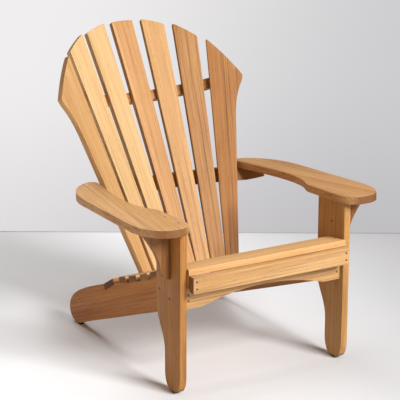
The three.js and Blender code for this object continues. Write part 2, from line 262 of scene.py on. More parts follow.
def makeTeak(name, slot, look, seed):
    tone = {key: tinted(colour, look.get("tint", (1, 1, 1))) for key, colour in teakTones[slot].items()}
    cloud = look.get("cloud", 1.0)
    material, tree, shader = startMaterial(name)
    shader.inputs["Specular IOR Level"].default_value = teak["specular"]
    grain = addNode(tree, "ShaderNodeAttribute", (-1400, 0), attribute_name="grain").outputs["Vector"]
    shift = addNode(tree, "ShaderNodeVectorMath", (-1200, 0), operation="ADD")
    join(tree, grain, shift.inputs[0])
    shift.inputs[1].default_value = (seed * teak["plankStep"], 0.0, 0.0)
    along = shift.outputs[0]

    # the trunk's middle wanders along the board, so straight lines open into arches here and there
    wobble = strayed(tree, figured(tree, along, "wander"), teak["axisWander"] * cloud)
    small = strayed(tree, figured(tree, along, "ripple"), teak["ringRipple"] * cloud)
    _, acrossAt, throughAt = partsOf(tree, along)
    across = plus(tree, plus(tree, acrossAt, look["pith"][0]), wobble)
    through = plus(tree, throughAt, look["pith"][1])
    squares = plus(tree, times(tree, across, across), times(tree, through, through))
    radius = mathNode(tree, "SQRT", squares)
    rings = times(tree, plus(tree, radius, small), teak["ringsPerMetre"])
    age = mathNode(tree, "FRACT", rings)
    late = mapRange(tree, age, teak["ringSoftness"], 1.0, 0.0, 1.0, smooth=True)
    # each year's ring has its own strength
    year = addNode(tree, "ShaderNodeTexWhiteNoise", (-300, -200), noise_dimensions="1D")
    join(tree, mathNode(tree, "FLOOR", rings), year.inputs["W"])
    strength = mapRange(tree, year.outputs["Value"], 0.0, 1.0, teak["yearsFrom"], teak["yearsTo"])
    ringMark = times(tree, late, strength)

    # broad bands of colour, dark streaks, fine lines and open pores, all drawn out along the board
    fine = figured(tree, along, "fine")
    fineMark = markOf(tree, fine, "fine", smooth=False)
    bandMark, streakMark, lineMark, poreMark = [
        markOf(tree, figured(tree, along, name), name) for name in ("bands", "streaks", "lines", "pores")
    ]
    clouds = figured(tree, along, "clouds")
    banded = times(tree, bandMark, figures["bands"]["share"] * cloud)
    amount = plus(tree, banded, times(tree, fineMark, figures["fine"]["share"]))
    ringed = times(tree, ringMark, teak["ringShare"])
    amount = mathNode(tree, "ADD", amount, ringed, clamp=True)
    colour = blendColours(tree, amount, tone["light"], tone["dark"])
    for mark, name in ((streakMark, "streaks"), (lineMark, "lines")):
        share = times(tree, mark, figures[name]["share"] * cloud)
        colour = blendColours(tree, share, colour, tone["line"])
    dimmed = mapRange(tree, clouds, figures["clouds"]["low"], figures["clouds"]["high"],
                      0.0, figures["clouds"]["share"] * cloud)
    colour = blendColours(tree, dimmed, colour, tone["dark"])
    pored = times(tree, poreMark, figures["pores"]["share"])
    colour = blendColours(tree, pored, colour, tone["line"])
    ends = addNode(tree, "ShaderNodeAttribute", (0, 400), attribute_name="endGrain").outputs["Fac"]
    ended = times(tree, ends, teak["endGrainShare"])
    colour = blendColours(tree, ended, colour, tone["line"])
    wear = addNode(tree, "ShaderNodeAttribute", (0, 600), attribute_name="easedEdge").outputs["Fac"]
    rubbed = times(tree, wear, mapRange(tree, clouds, 0.4, 0.62, teak["rubbedFrom"], teak["rubbedTo"]))
    join(tree, blendColours(tree, rubbed, colour, tone["light"]), shader.inputs["Base Color"])

    gloss = plus(tree, mapRange(tree, fine, 0.3, 0.7, -0.05, 0.07), teak["roughness"])
    gloss = plus(tree, gloss, times(tree, ends, teak["endRougher"]))
    gloss = plus(tree, gloss, times(tree, poreMark, teak["poreRougher"]))
    join(tree, gloss, shader.inputs["Roughness"])
    sunk = plus(tree, poreMark, times(tree, ringMark, teak["ringHeight"]))
    height = minus(tree, times(tree, fine, teak["fineHeight"]), sunk)
    bumped(tree, shader, height, teak["bumpStrength"], teak["poreDepth"])
    return material


# sawn boards: an eased copy of each CAD board
# pith is where the trunk's middle lay from the board, across and through, which decides between straight
# and arched grain; tint multiplies the slot's tone, cloud its unevenness, and along gives the grain's way
boards = {
    "front_leg_left": {"pith": (0.021, 0.055), "tint": (1.06, 1.02, 0.84)},
    "front_leg_right": {"pith": (-0.060, 0.090), "tint": (0.86, 0.76, 0.58)},
    "side_rail_left": {"pith": (0.015, 0.075), "tint": (1.16, 0.98, 0.62)},
    "side_rail_right": {"pith": (-0.050, 0.060)},
    "armrest_left": {"pith": (0.030, -0.045), "cloud": 1.4, "tint": (1.12, 1.12, 1.16)},
    "armrest_right": {"pith": (-0.035, -0.045), "cloud": 1.4, "tint": (0.94, 0.88, 0.90)},
    # the left bracket's dark tint is painted shade, standing in for the shadow the arm casts over it
    "arm_bracket_left": {"pith": (0.080, 0.040), "tint": (0.50, 0.39, 0.29), "along": (0, 0, 1)},
    "arm_bracket_right": {"pith": (0.070, 0.050), "tint": (0.64, 0.52, 0.42), "along": (0, 0, 1)},
    "front_board": {"pith": (0.010, 0.060)},
    "front_apron": {"pith": (0.045, 0.080)},
    "seat_slat_1": {"pith": (0.030, -0.060), "tint": (1.05, 0.93, 0.82)},
    "back_top_cleat": {"pith": (0.040, 0.060)},
    "arm_support_bar": {"pith": (0.050, 0.060)},
    "back_bottom_bar": {"pith": (0.050, 0.060)},
}
easing = {"radius": 0.0016, "segments": 3, "sharpAngle": 32.0, "smoothAngle": 30.0, "shadeAngle": 38.0}
welding = {"distance": 1e-5, "flatAngle": 0.6}
# a board whose longest edge is short beside its length is all curves, and its grain follows its length
grainSearch = {"curvedBelow": 0.4, "followAbove": 0.6}
endGrain = {"low": 0.45, "high": 0.85}   # how far a face turns across the grain before end grain shows


def cleanCopy(node):
    mesh = bmesh.new()
    mesh.from_mesh(nodes[node].data)
    bmesh.ops.remove_doubles(mesh, verts=mesh.verts, dist=welding["distance"])
    flat = math.radians(welding["flatAngle"])
    bmesh.ops.dissolve_limit(mesh, angle_limit=flat, verts=mesh.verts, edges=mesh.edges)
    return mesh


def boardAxes(mesh, grainWay=None):
    through = max(mesh.faces, key=lambda face: face.calc_area()).normal.copy()
    longest = max(edge.calc_length() for edge in mesh.edges)
    corners = [vertex.co for vertex in mesh.verts]
    spans = [max(c[i] for c in corners) - min(c[i] for c in corners) for i in range(3)]
    if grainWay:
        along = Vector(grainWay)
    elif longest < grainSearch["curvedBelow"] * max(spans):
        along = Vector([float(i == spans.index(max(spans))) for i in range(3)])
    else:
        along = Vector()
        for edge in mesh.edges:
            if edge.calc_length() > grainSearch["followAbove"] * longest:
                step = edge.verts[1].co - edge.verts[0].co
                along += step if along.dot(step) >= 0 else -step
    along = (along - through * along.dot(through)).normalized()
    return along, through.cross(along).normalized(), through


def writeGrain(mesh, axes, origin, easedFaces):
    along, across, through = axes
    grain = mesh.verts.layers.float_vector.new("grain")
    ends = mesh.loops.layers.float.new("endGrain")
    eased = mesh.loops.layers.float.new("easedEdge")
    for vertex in mesh.verts:
        offset = vertex.co - origin
        vertex[grain] = Vector((offset.dot(along), offset.dot(across), offset.dot(through)))
    # a rounded end turns from side grain to end grain smoothly, from one face to the next
    smoothCosine = math.cos(math.radians(easing["smoothAngle"]))
    for face in mesh.faces:
        for loop in face.loops:
            around = [other.normal for other in loop.vert.link_faces
                      if other.normal.dot(face.normal) > smoothCosine and other not in easedFaces]
            normal = sum(around, face.normal.copy()).normalized()
            turned = (abs(normal.dot(along)) - endGrain["low"]) / (endGrain["high"] - endGrain["low"])
            loop[ends] = max(0.0, min(1.0, turned))
            loop[eased] = 1.0 if face in easedFaces else 0.0


def finishObject(name, mesh, material, replaced=()):
    data = bpy.data.meshes.new(name)
    mesh.to_mesh(data)
    mesh.free()
    data.materials.append(material)
    obj = bpy.data.objects.new(name, data)
    collection.objects.link(obj)
    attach(obj, "root")
    if replaced:
        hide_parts(*replaced)
    return obj


def makeBoard(node, look, seed):
    mesh = cleanCopy(node)
    axes = boardAxes(mesh, look.get("along"))
    origin = boxMiddle(node)
    limit = math.radians(easing["sharpAngle"])
    sharp = [edge for edge in mesh.edges if edge.is_manifold and edge.calc_face_angle(0) > limit]
    made = bmesh.ops.bevel(
        mesh, geom=sharp, offset=easing["radius"], offset_type="OFFSET", segments=easing["segments"],
        profile=0.5, affect="EDGES", clamp_overlap=True,
    )
    easedFaces = set(made["faces"])
    writeGrain(mesh, axes, origin, easedFaces)
    for face in mesh.faces:
        face.smooth = True
    material = makeTeak(f"{node} teak", slotOf[node], look, seed)
    obj = finishObject(f"{node}_board", mesh, material, (node,))
    obj.data.set_sharp_from_angle(angle=math.radians(easing["shadeAngle"]))
    return obj


boardObjects = {node: makeBoard(node, look, seed) for seed, (node, look) in enumerate(boards.items(), 1)}
print("boards eased:", len(boardObjects))


# short ways of building and running geometry nodes
def startTree(name, inputs):
    tree = bpy.data.node_groups.new(name, "GeometryNodeTree")
    tree.interface.new_socket("Geometry", in_out="OUTPUT", socket_type="NodeSocketGeometry")
    for label, kind in inputs.items():
        tree.interface.new_socket(label, in_out="INPUT", socket_type=f"NodeSocket{kind}")
    given = addNode(tree, "NodeGroupInput", (-900, 0)).outputs
    result = addNode(tree, "NodeGroupOutput", (1600, 0)).inputs[0]
    return tree, given, result


def runTree(tree, base, values):
    obj = bpy.data.objects.new("run", base)
    collection.objects.link(obj)
    modifier = obj.modifiers.new("build", "NODES")
    modifier.node_group = tree
    items = tree.interface.items_tree
    sockets = {item.name: item.identifier for item in items if item.in_out == "INPUT"}
    for label, value in values.items():
        modifier[sockets[label]] = value
    graph = bpy.context.evaluated_depsgraph_get()
    mesh = bpy.data.meshes.new_from_object(obj.evaluated_get(graph))
    bpy.data.objects.remove(obj)
    return mesh


def named(tree, name, kind="FLOAT"):
    node = addNode(tree, "GeometryNodeInputNamedAttribute", data_type=kind)
    node.inputs["Name"].default_value = name
    return node.outputs["Attribute"]


def position(tree):
    return addNode(tree, "GeometryNodeInputPosition").outputs[0]


def store(tree, geometry, name, value, kind="FLOAT", domain="POINT"):
    node = addNode(tree, "GeometryNodeStoreNamedAttribute", data_type=kind, domain=domain)
    node.inputs["Name"].default_value = name
    join(tree, geometry, node.inputs["Geometry"])
    join(tree, value, node.inputs["Value"])
    return node.outputs["Geometry"]


def vectorMath(tree, operation, first, second):
    node = addNode(tree, "ShaderNodeVectorMath", operation=operation)
    for socket, value in zip(node.inputs, (first, second)):
        join(tree, value, socket)
    return node.outputs["Value" if operation == "DOT_PRODUCT" else "Vector"]


def scaled(tree, vector, amount):
    node = addNode(tree, "ShaderNodeVectorMath", operation="SCALE")
    join(tree, vector, node.inputs[0])
    join(tree, amount, node.inputs["Scale"])
    return node.outputs[0]


def vectorOf(tree, x, y, z):
    node = addNode(tree, "ShaderNodeCombineXYZ")
    for socket, value in zip(node.inputs, (x, y, z)):
        join(tree, value, socket)
    return node.outputs[0]


# slats: a rounded section swept up each slat's spine
slatEdge = {
    "radius": 0.0018,
    "steps": 4,
    "cuts": 8,              # strips across a slat's face
    "stations": 26,         # and along it
    "crownSamples": 24,
    "searchFrom": 0.98,     # where the search for a slat's side starts, as a share of its width
    "searchSteps": 12,
    "cornerSlack": 0.0005,
    "margin": 1e-5,
    "weld": 1e-6,
    "flatCosine": 0.985,    # a face turned further than this from its board's sides is an eased edge
    "plank": 8.0,           # metres of plank that the slats are cut from
    "seed": 23,
}
slats = {
    "back_slat_1": {"pith": (0.120, 0.040)},
    "back_slat_2": {"pith": (0.140, 0.050)},
    "back_slat_3": {"pith": (-0.110, 0.060)},
    "back_slat_4": {"pith": (0.090, 0.070), "tint": (1.02, 1.0, 0.95)},
    "back_slat_5": {"pith": (0.130, 0.060), "tint": (1.0, 0.95, 0.86)},
    "back_slat_6": {"pith": (0.012, 0.045), "cloud": 1.9, "tint": (0.76, 0.63, 0.46)},
    "back_slat_7": {"pith": (-0.030, 0.050), "cloud": 1.7, "tint": (0.98, 0.94, 0.88)},
    "seat_slat_2": {"pith": (0.030, 0.060)},
    "seat_slat_3": {"pith": (-0.060, 0.050)},
    "seat_slat_4": {"pith": (0.080, 0.060)},
    "seat_slat_5": {"pith": (0.040, 0.070)},
    "seat_slat_6": {"pith": (-0.090, 0.050)},
}


def slatSection(thickness, edge):
    half, radius = thickness / 2, edge["radius"]
    core = half - radius
    points = []
    for corner, (sideX, sideY) in enumerate(((1, 1), (-1, 1), (-1, -1), (1, -1))):
        for step in range(edge["steps"] + 1):
            angle = (corner + step / edge["steps"]) * math.pi / 2
            x, y = radius * math.cos(angle), radius * math.sin(angle)
            points.append((sideX * core + x, sideY * core + y))
        if corner % 2 == 0:
            for cut in range(1, edge["cuts"]):
                points.append((sideX * core * (1 - 2 * cut / edge["cuts"]), sideY * half))
    mesh = bpy.data.meshes.new("section")
    links = [(i, (i + 1) % len(points)) for i in range(len(points))]
    mesh.from_pydata([(x, y, 0) for x, y in points], links, [])
    return bpy.data.objects.new("section", mesh)


def slatOutline(node):
    mesh = cleanCopy(node)
    along, across, through = boardAxes(mesh)
    if along.z < -0.1:      # a back slat is measured from its foot up
        along, across = -along, -across
    depths = [vertex.co.dot(through) for vertex in mesh.verts]
    face = max(mesh.faces, key=lambda f: f.calc_area())
    middle = boxMiddle(node)
    origin = middle + through * ((max(depths) + min(depths)) / 2 - middle.dot(through))
    outline = [((v.co - origin).dot(across), (v.co - origin).dot(along)) for v in face.verts]
    mesh.free()
    return (along, across, through), origin, outline, max(depths) - min(depths)


def crossings(outline, level, axis):
    found = []
    for first, second in zip(outline, outline[1:] + outline[:1]):
        low, high = first[axis], second[axis]
        if (low - level) * (high - level) <= 0 and low != high:
            share = (level - low) / (high - low)
            found.append(first[1 - axis] + share * (second[1 - axis] - first[1 - axis]))
    return found


# the crown of a slat as a curve, level + slope * x + square * x * x
def crownCurve(outline, count):
    xs = [x for x, _ in outline]
    low, high = min(xs), max(xs)
    samples = [low + (high - low) * (i + 0.5) / count for i in range(count)]
    heights = [max(crossings(outline, x, 0)) for x in samples]
    square, slope, level = np.polyfit(samples, heights, 2)
    return level, slope, square


def slatStations(length, edge):
    radius = edge["radius"]
    rows = [(i / edge["stations"], 0.0) for i in range(1, edge["stations"])]
    for step in range(edge["steps"] + 1):
        angle = step / edge["steps"] * math.pi / 2
        share = radius * (1 - math.sin(angle)) / length
        inset = radius * (1 - math.cos(angle))
        rows += [(share, inset), (1 - share, inset)]
    return sorted(rows)


def slatSpine(node, edge):
    (along, across, through), origin, outline, thickness = slatOutline(node)
    foot = min(height for _, height in outline)
    level, slope, square = crownCurve(outline, edge["crownSamples"])
    mesh = bpy.data.meshes.new("spine")
    rows = slatStations(level - foot, edge)
    heights = [foot + share * (level - foot) for share, _ in rows]
    links = [(i, i + 1) for i in range(len(rows) - 1)]
    mesh.from_pydata([origin + along * height for height in heights], links, [])
    margin = edge["margin"]
    peak = max(height for _, height in outline) - margin
    columns = {"middle": [], "halfWidth": [], "inset": [], "skew": [], "bow": [], "height": heights}
    for share, inset in rows:
        sides = []
        for pick in (min, max):
            x = pick(x for x, _ in outline) * edge["searchFrom"]
            for _ in range(edge["searchSteps"]):
                height = foot + share * (level + slope * x + square * x * x - foot)
                height = min(max(height - edge["cornerSlack"], foot + margin), peak)
                x = pick(crossings(outline, height, 1))
            sides.append(x)
        columns["middle"].append(sum(sides) / 2)
        columns["halfWidth"].append((sides[1] - sides[0]) / 2)
        columns["inset"].append(inset)
        columns["skew"].append(share * slope)
        columns["bow"].append(share * square)
    for name, values in columns.items():
        mesh.attributes.new(name, "FLOAT", "POINT").data.foreach_set("value", values)
    for name, way in (("acrossWay", across), ("alongWay", along), ("throughWay", through)):
        column = mesh.attributes.new(name, "FLOAT_VECTOR", "POINT")
        column.data.foreach_set("vector", list(way) * len(rows))
    return mesh, thickness


def makeSlatTree():
    tree, given, result = startTree("sweptSlat", {
        "Geometry": "Geometry", "Section": "Object", "Core": "Float", "Edge radius": "Float",
        "Seed": "Int", "Material": "Material",
    })
    spine = addNode(tree, "GeometryNodeMeshToCurve", (-600, 200))
    join(tree, given["Geometry"], spine.inputs[0])
    spineCurve = store(tree, spine.outputs[0], "spineAt", position(tree), "FLOAT_VECTOR")
    section = addNode(tree, "GeometryNodeObjectInfo", (-600, -200))
    join(tree, given["Section"], section.inputs["Object"])
    sectionCurve = addNode(tree, "GeometryNodeMeshToCurve", (-400, -200))
    join(tree, section.outputs["Geometry"], sectionCurve.inputs[0])
    profile = store(tree, sectionCurve.outputs[0], "sectionAt", position(tree), "FLOAT_VECTOR")
    sweep = addNode(tree, "GeometryNodeCurveToMesh", (0, 0))
    sweep.inputs["Fill Caps"].default_value = True
    join(tree, spineCurve, sweep.inputs["Curve"])
    join(tree, profile, sweep.inputs["Profile Curve"])

    # across: the flat middle stretches to the slat's width, the rounded edges keep their size
    sectionX, sectionY, _ = partsOf(tree, named(tree, "sectionAt", "FLOAT_VECTOR"))
    core = given["Core"]
    held = mathNode(tree, "MAXIMUM", mathNode(tree, "MINIMUM", sectionX, core), times(tree, core, -1.0))
    room = minus(tree, named(tree, "halfWidth"), given["Edge radius"])
    room = minus(tree, room, named(tree, "inset"))
    x = times(tree, mathNode(tree, "DIVIDE", held, core), room)
    x = plus(tree, x, minus(tree, sectionX, held))
    x = plus(tree, x, named(tree, "middle"))
    halfThick = plus(tree, core, given["Edge radius"])
    drawnIn = minus(tree, halfThick, named(tree, "inset"))
    y = times(tree, sectionY, mathNode(tree, "DIVIDE", drawnIn, halfThick))
    bowed = times(tree, named(tree, "bow"), times(tree, x, x))
    rise = plus(tree, times(tree, named(tree, "skew"), x), bowed)
    alongWay = named(tree, "alongWay", "FLOAT_VECTOR")
    acrossWay = named(tree, "acrossWay", "FLOAT_VECTOR")
    throughWay = named(tree, "throughWay", "FLOAT_VECTOR")
    place = vectorMath(tree, "ADD", named(tree, "spineAt", "FLOAT_VECTOR"), scaled(tree, acrossWay, x))
    place = vectorMath(tree, "ADD", place, scaled(tree, throughWay, y))
    place = vectorMath(tree, "ADD", place, scaled(tree, alongWay, rise))

    # the board was cut from a random stretch of its plank
    cut = addNode(tree, "FunctionNodeRandomValue", data_type="FLOAT")
    cut.inputs[3].default_value = slatEdge["plank"]
    join(tree, addNode(tree, "FunctionNodeInputInt", integer=1).outputs[0], cut.inputs["ID"])
    join(tree, given["Seed"], cut.inputs["Seed"])
    stretchAlong = plus(tree, plus(tree, named(tree, "height"), rise), cut.outputs[1])
    grained = store(tree, sweep.outputs[0], "grain", vectorOf(tree, stretchAlong, x, y), "FLOAT_VECTOR")
    placed = addNode(tree, "GeometryNodeSetPosition", (600, 0))
    join(tree, grained, placed.inputs["Geometry"])
    join(tree, place, placed.inputs["Position"])

    normal = addNode(tree, "GeometryNodeInputNormal").outputs[0]
    facings = [mathNode(tree, "ABSOLUTE", vectorMath(tree, "DOT_PRODUCT", normal, way))
               for way in (alongWay, acrossWay, throughWay)]
    ended = mapRange(tree, facings[0], endGrain["low"], endGrain["high"], 0.0, 1.0)
    squareOn = mathNode(tree, "MAXIMUM", mathNode(tree, "MAXIMUM", facings[0], facings[1]), facings[2])
    eased = mathNode(tree, "LESS_THAN", squareOn, slatEdge["flatCosine"])
    marked = store(tree, placed.outputs[0], "endGrain", ended, domain="FACE")
    marked = store(tree, marked, "easedEdge", eased, domain="FACE")
    realised = addNode(tree, "GeometryNodeRealizeInstances", (1200, 0))
    join(tree, marked, realised.inputs[0])
    finish = addNode(tree, "GeometryNodeSetMaterial", (1400, 0))
    join(tree, realised.outputs[0], finish.inputs["Geometry"])
    join(tree, given["Material"], finish.inputs["Material"])
    join(tree, finish.outputs[0], result)
    return tree


def makeSlat(node, look, tree, edge, number):
    spine, thickness = slatSpine(node, edge)
    section = slatSection(thickness, edge)
    material = makeTeak(f"{node} teak", slotOf[node], look, 0)
    core = thickness / 2 - edge["radius"]
    data = runTree(tree, spine, {
        "Section": section, "Core": core, "Edge radius": edge["radius"],
        "Seed": edge["seed"] + number, "Material": material,
    })
    bpy.data.objects.remove(section)
    mesh = bmesh.new()
    mesh.from_mesh(data)
    bpy.data.meshes.remove(data)
    bmesh.ops.remove_doubles(mesh, verts=mesh.verts, dist=edge["weld"])
    bmesh.ops.recalc_face_normals(mesh, faces=mesh.faces)
    for face in mesh.faces:
        face.smooth = True
    obj = finishObject(f"{node}_board", mesh, material, (node,))
    obj.data.set_sharp_from_angle(angle=math.radians(easing["shadeAngle"]))
    return obj


slatTree = makeSlatTree()
for number, (node, look) in enumerate(slats.items()):
    boardObjects[node] = makeSlat(node, look, slatTree, slatEdge, number)
print("slats swept:", len(slats))

# screws, plugs and glides: one turned shape each, set on its places with a random turn
fittings = {
    "segments": 24,
    "scale": 1.0,
    "shadeAngle": 35.0,
    "headRadius": 0.0033,
    "headThick": 0.0026,
    "headProud": 0.0009,       # how far a head on the rear of the back stands out
    "crossBite": 0.62,         # how deep the cross recess cuts in between its arms, and how square
    "crossPower": 0.7,
    "recessRadius": 0.0019,
    "recessDepth": 0.0013,
    "shankRadius": 0.0019,
    "shankLength": 0.030,
    "threadPitch": 0.0021,
    "plugRadius": 0.0041,
    "plugLength": 0.0054,
    "plugProud": 0.00025,
    "plugAbove": 0.006,        # from an arm screw's head to its plug
    "seatPlugInset": 0.0115,   # from a rail's outer face to the row of plugs along it
    "searchFrom": 0.3,         # how far off a board the search for its surface starts
    "glideSegments": 40,
    "glideGrooves": (0.62, 0.42),
    "plank": 6.0,              # metres of plank that the plugs are cut from
    "seed": 11,
}


# each ring is a radius, a height and whether the cross recess bites into it
def turnedShape(name, rings, segments, bite=0.0):
    mesh = bmesh.new()
    rows = []
    for radius, height, crossed in rings:
        if radius == 0:
            rows.append([mesh.verts.new((0, 0, height))])
            continue
        row = []
        for step in range(segments):
            angle = step / segments * 2 * math.pi
            reach = radius * (1 - crossed * bite * abs(math.sin(2 * angle)) ** fittings["crossPower"])
            row.append(mesh.verts.new((reach * math.cos(angle), reach * math.sin(angle), height)))
        rows.append(row)
    for upper, lower in zip(rows, rows[1:]):
        for step in range(segments):
            after = (step + 1) % segments
            corners = [upper[step % len(upper)], upper[after % len(upper)],
                       lower[after % len(lower)], lower[step % len(lower)]]
            mesh.faces.new(list(dict.fromkeys(corners)))
    bmesh.ops.recalc_face_normals(mesh, faces=mesh.faces)
    for face in mesh.faces:
        face.smooth = True
    data = bpy.data.meshes.new(name)
    mesh.to_mesh(data)
    mesh.free()
    data.set_sharp_from_angle(angle=math.radians(fittings["shadeAngle"]))
    return bpy.data.objects.new(name, data)


def screwShape(f):
    head, recess, thick = f["headRadius"], f["recessRadius"], f["headThick"]
    rings = [(0, -f["recessDepth"], 0), (recess * 0.8, -f["recessDepth"], 1), (recess, -0.0001, 1),
             (head * 0.86, 0.0, 0), (head, -0.0005, 0), (head, -f["headProud"], 0),
             (f["shankRadius"], -thick, 0)]
    depth = thick + f["threadPitch"]
    while depth < f["shankLength"]:
        rings += [(f["shankRadius"] * 0.78, -depth, 0),
                  (f["shankRadius"], -depth - f["threadPitch"] / 2, 0)]
        depth += f["threadPitch"]
    rings += [(0, -f["shankLength"] - 0.003, 0)]
    return turnedShape("screwShape", rings, f["segments"], bite=f["crossBite"])


def plugShape(f):
    radius, proud = f["plugRadius"], f["plugProud"]
    rings = [(0, proud, 0), (radius * 0.5, proud, 0), (radius - 0.0003, proud * 0.8, 0),
             (radius, 0.0, 0), (radius, -f["plugLength"], 0), (0, -f["plugLength"], 0)]
    return turnedShape("plugShape", rings, f["segments"])


def glideShape(f, radius, height):
    rings = [(0, height, 0), (radius * 0.9, height, 0), (radius, height * 0.82, 0)]
    for groove in f["glideGrooves"]:
        rings += [(radius, height * (groove + 0.08), 0), (radius * 0.96, height * groove, 0),
                  (radius, height * (groove - 0.08), 0)]
    rings += [(radius, height * 0.22, 0), (radius * 0.93, 0.0004, 0), (radius * 0.86, 0.0, 0),
              (radius * 0.38, 0.0, 0), (radius * 0.34, 0.0007, 0), (0, 0.0012, 0)]
    return turnedShape("glideShape", rings, f["glideSegments"])


def makeFittingTree():
    tree, given, result = startTree("setFittings", {
        "Geometry": "Geometry", "Shape": "Object", "Scale": "Float", "Seed": "Int",
        "Material": "Material",
    })
    shape = addNode(tree, "GeometryNodeObjectInfo", (-600, -200))
    join(tree, given["Shape"], shape.inputs["Object"])
    marked = store(tree, shape.outputs["Geometry"], "shapeAt", position(tree), "FLOAT_VECTOR")
    aim = addNode(tree, "FunctionNodeAlignRotationToVector", (-300, 300), axis="Z")
    join(tree, named(tree, "outward", "FLOAT_VECTOR"), aim.inputs["Vector"])
    spin = addNode(tree, "FunctionNodeRandomValue", (-300, 0), data_type="FLOAT")
    spin.inputs[3].default_value = 2 * math.pi
    join(tree, given["Seed"], spin.inputs["Seed"])
    turn = addNode(tree, "FunctionNodeAxisAngleToRotation", (-100, 0))
    join(tree, spin.outputs[1], turn.inputs["Angle"])
    both = addNode(tree, "FunctionNodeRotateRotation", (100, 200), rotation_space="LOCAL")
    join(tree, aim.outputs[0], both.inputs[0])
    join(tree, turn.outputs[0], both.inputs[1])
    placed = addNode(tree, "GeometryNodeInstanceOnPoints", (300, 0))
    join(tree, given["Geometry"], placed.inputs["Points"])
    join(tree, marked, placed.inputs["Instance"])
    join(tree, both.outputs[0], placed.inputs["Rotation"])
    join(tree, given["Scale"], placed.inputs["Scale"])
    piece = addNode(tree, "FunctionNodeRandomValue", (300, -300), data_type="FLOAT")
    piece.inputs[3].default_value = fittings["plank"]
    join(tree, plus(tree, given["Seed"], 5.0), piece.inputs["Seed"])   # not the turn's own draw
    cutAt = store(tree, placed.outputs[0], "cutAt", piece.outputs[1], domain="INSTANCE")
    realised = addNode(tree, "GeometryNodeRealizeInstances", (700, 0))
    join(tree, cutAt, realised.inputs[0])
    x, y, z = partsOf(tree, named(tree, "shapeAt", "FLOAT_VECTOR"))
    grained = store(tree, realised.outputs[0], "grain",
                    vectorOf(tree, plus(tree, x, named(tree, "cutAt")), y, z), "FLOAT_VECTOR")
    finish = addNode(tree, "GeometryNodeSetMaterial", (1200, 0))
    join(tree, grained, finish.inputs["Geometry"])
    join(tree, given["Material"], finish.inputs["Material"])
    join(tree, finish.outputs[0], result)
    return tree


def setFittings(name, shape, places, material, replaced=()):
    points = bpy.data.meshes.new("places")
    points.from_pydata([place for place, _ in places], [], [])
    ways = [part for _, way in places for part in way]
    points.attributes.new("outward", "FLOAT_VECTOR", "POINT").data.foreach_set("vector", ways)
    data = runTree(fittingTree, points, {
        "Shape": shape, "Scale": fittings["scale"], "Seed": fittings["seed"], "Material": material,
    })
    bpy.data.objects.remove(shape)
    mesh = bmesh.new()
    mesh.from_mesh(data)
    bpy.data.meshes.remove(data)
    return finishObject(name, mesh, material, replaced)


# a screw is longest along its axis, and its head is its widest part
def screwPlace(node):
    points = np.array([vertex.co[:] for vertex in nodes[node].data.vertices])
    middle = points.mean(axis=0)
    way = np.linalg.svd(points - middle, full_matrices=False)[2][0]
    heights = (points - middle) @ way
    spread = np.linalg.norm(points - middle - np.outer(heights, way), axis=1)
    widest = heights[spread > 0.9 * spread.max()]
    if abs(widest.mean() - heights.min()) < abs(widest.mean() - heights.max()):
        way = -way
        heights = -heights
    rim = points[heights > heights.max() - welding["distance"]]
    return Vector((rim.max(axis=0) + rim.min(axis=0)) / 2), Vector(way)


metal = {
    "clean": ("#7c746a", "#968e83"),
    "dull": "#6b513a",
    "brush": (2600.0, 260.0, 900.0),
    "tarnish": (210.0, 210.0, 210.0),
    "dullFrom": 0.25,
    "dullTo": 0.95,
    "smoothest": 0.34,
    "roughest": 0.62,
    "bump": 0.35,
    "depth": 0.00006,
}
rubber = {
    "clean": "#1d1b19",
    "dusty": "#4b443c",
    "dust": (120.0, 120.0, 300.0),
    "pits": (1500.0, 1500.0, 1500.0),
    "dustShare": 0.5,
    "smoothest": 0.62,
    "roughest": 0.85,
    "bump": 0.4,
    "depth": 0.0001,
}


def metalMaterial(m):
    material, tree, shader = startMaterial("aged steel")
    shader.inputs["Metallic"].default_value = 0.9
    shapeAt = addNode(tree, "ShaderNodeAttribute", attribute_name="shapeAt").outputs["Vector"]
    brushed = noise(tree, shapeAt, m["brush"], 3.0, 0.6)
    where = addNode(tree, "ShaderNodeTexCoord").outputs["Object"]
    tarnish = noise(tree, where, m["tarnish"], 4.0, 0.6)
    clean = blendColours(tree, brushed, linear(m["clean"][0]), linear(m["clean"][1]))
    dulled = mapRange(tree, tarnish, 0.4, 0.65, m["dullFrom"], m["dullTo"])
    join(tree, blendColours(tree, dulled, clean, linear(m["dull"])), shader.inputs["Base Color"])
    gloss = mapRange(tree, tarnish, 0.3, 0.7, m["smoothest"], m["roughest"])
    join(tree, gloss, shader.inputs["Roughness"])
    bumped(tree, shader, brushed, m["bump"], m["depth"])
    return material


def rubberMaterial(r):
    material, tree, shader = startMaterial("glide rubber")
    where = addNode(tree, "ShaderNodeTexCoord").outputs["Object"]
    dust = noise(tree, where, r["dust"], 4.0, 0.6)
    pitted = noise(tree, where, r["pits"], 2.0, 0.5)
    dusted = mapRange(tree, dust, 0.45, 0.75, 0.0, r["dustShare"])
    tone = blendColours(tree, dusted, linear(r["clean"]), linear(r["dusty"]))
    join(tree, tone, shader.inputs["Base Color"])
    gloss = mapRange(tree, dust, 0.3, 0.7, r["smoothest"], r["roughest"])
    join(tree, gloss, shader.inputs["Roughness"])
    bumped(tree, shader, pitted, r["bump"], r["depth"])
    return material


fittingTree = makeFittingTree()
steel = metalMaterial(metal)
screwNodes = [node for node in nodes if "_screw_" in node]
screwPlaces = {node: screwPlace(node) for node in screwNodes}
setFittings("screws", screwShape(fittings), list(screwPlaces.values()), steel, screwNodes)
print("screws driven:", len(screwNodes))


upward = Vector((0, 0, 1))


def surfaceOf(name):
    mesh = bmesh.new()
    mesh.from_mesh(boardObjects[name].data)
    tree = BVHTree.FromBMesh(mesh)
    mesh.free()
    return tree


